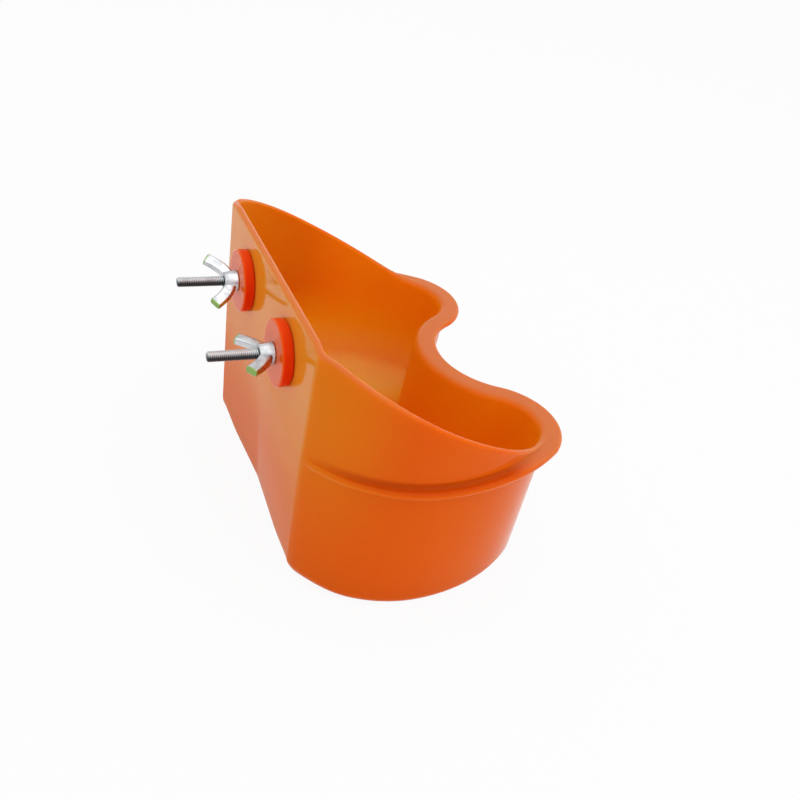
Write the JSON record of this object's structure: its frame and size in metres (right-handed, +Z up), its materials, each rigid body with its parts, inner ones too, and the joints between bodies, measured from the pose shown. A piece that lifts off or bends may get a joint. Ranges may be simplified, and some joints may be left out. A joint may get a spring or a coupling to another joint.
{
  "type": "seed cup",
  "caption": "Two-lobed plastic seed cup with a high back plate, clamped to cage bars by bolts, discs and wing nuts.",
  "frame": {"origin": "on the base face, under the middle of the cup, halfway between the plate's outer face and the flange's front", "axes": "+Z up, +Y out of the back plate along the bolts, the lobes face -Y, +X to the right bolt"},
  "size_m": [0.176, 0.1385, 0.105],
  "materials": {
    "cup_plastic": "glossy injection-moulded orange",
    "disc_plastic": "glossy injection-moulded red",
    "zinc_steel": "bright zinc plate"
  },
  "bodies": {
    "cup": {"cup_shell": "cup_plastic", "bolt_left": "zinc_steel", "bolt_right": "zinc_steel"},
    "disc_left": {"clamp_disc_left": "disc_plastic"},
    "disc_right": {"clamp_disc_right": "disc_plastic"},
    "nut_left": {"wing_nut_left": "zinc_steel"},
    "nut_right": {"wing_nut_right": "zinc_steel"}
  },
  "joints": [
    {"name": "disc_left_slide", "type": "slide", "parent": "cup", "child": "disc_left", "axis": [0, 1, 0], "range_m": [0, 0.00841]},
    {"name": "nut_left_spin", "type": "hinge", "parent": "disc_left", "child": "nut_left", "pos_m": [-0.0278, 0.0594, 0.084], "axis": [0, 1, 0], "range_deg": [0, 4320]},
    {"name": "disc_right_slide", "type": "slide", "parent": "cup", "child": "disc_right", "axis": [0, 1, 0], "range_m": [0, 0.00841]},
    {"name": "nut_right_spin", "type": "hinge", "parent": "disc_right", "child": "nut_right", "pos_m": [0.0278, 0.0594, 0.084], "axis": [0, 1, 0], "range_deg": [0, 4320]}
  ],
  "couplings": [
    {"joint": "disc_left_slide", "follows": "nut_left_spin", "m_per_rad": 0.00011141},
    {"joint": "disc_right_slide", "follows": "nut_right_spin", "m_per_rad": 0.00011141}
  ]
}
